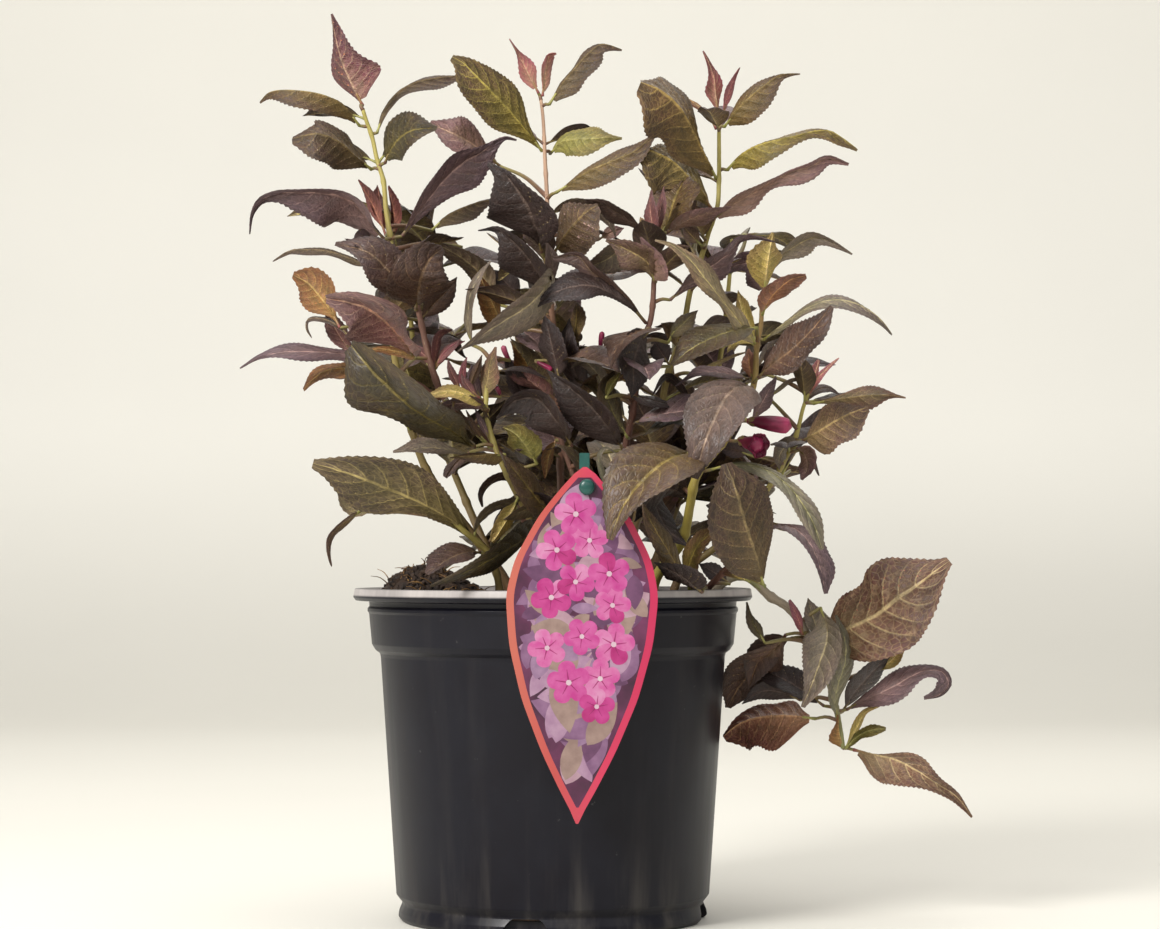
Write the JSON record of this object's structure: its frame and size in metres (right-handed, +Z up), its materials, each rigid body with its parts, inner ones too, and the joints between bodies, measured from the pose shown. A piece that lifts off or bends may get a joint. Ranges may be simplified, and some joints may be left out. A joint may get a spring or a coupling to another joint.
{
  "type": "potted weigela shrub",
  "caption": "Young purple-leaved weigela shrub with several slender stems in a round nursery pot with a leaf-shaped picture label.",
  "frame": {"origin": "centre of the pot's flat underside", "axes": "+Z up along the pot's axis; +X towards the shoot that hangs over the rim; -Y towards the picture label"},
  "size_m": [0.3437, 0.2598, 0.4286],
  "materials": {
    "pot_plastic": "satin",
    "potting_soil": "matte",
    "bark": "satin",
    "leaf": "satin",
    "label_card": "satin",
    "peg_plastic": "gloss"
  },
  "bodies": {
    "root": {"label_card": "label_card", "label_peg": "peg_plastic", "mass_back_high_left": "leaf", "mass_back_high_right": "leaf", "mass_back_left": "leaf", "mass_back_low": "leaf", "mass_back_middle": "leaf", "mass_back_right": "leaf", "mass_centre_low": "leaf", "mass_centre_middle": "leaf", "mass_centre_top": "leaf", "mass_centre_upper": "leaf", "mass_far_right": "leaf", "mass_front_corner": "leaf", "mass_front_low": "leaf", "mass_front_right": "leaf", "mass_hanging_lower": "leaf", "mass_hanging_upper": "leaf", "mass_inner": "leaf", "mass_left_inner": "leaf", "mass_left_low": "leaf", "mass_left_outer": "leaf", "mass_left_top": "leaf", "mass_left_upper": "leaf", "mass_right_inner": "leaf", "mass_right_middle": "leaf", "mass_right_outer": "leaf", "mass_right_top": "leaf", "mass_right_upper": "leaf", "pot": "pot_plastic", "root_ball": "potting_soil", "stem_back": "bark", "stem_back_left": "bark", "stem_back_right": "bark", "stem_centre": "bark", "stem_centre_right": "bark", "stem_far_right": "bark", "stem_front_corner": "bark", "stem_hanging": "bark", "stem_inner": "bark", "stem_left_front": "bark", "stem_left_side": "bark", "stem_left_tall": "bark", "stem_low_left": "bark", "stem_middle_front": "bark", "stem_over_rim": "bark", "stem_right": "bark", "stem_right_tall": "bark"}
  },
  "joints": []
}
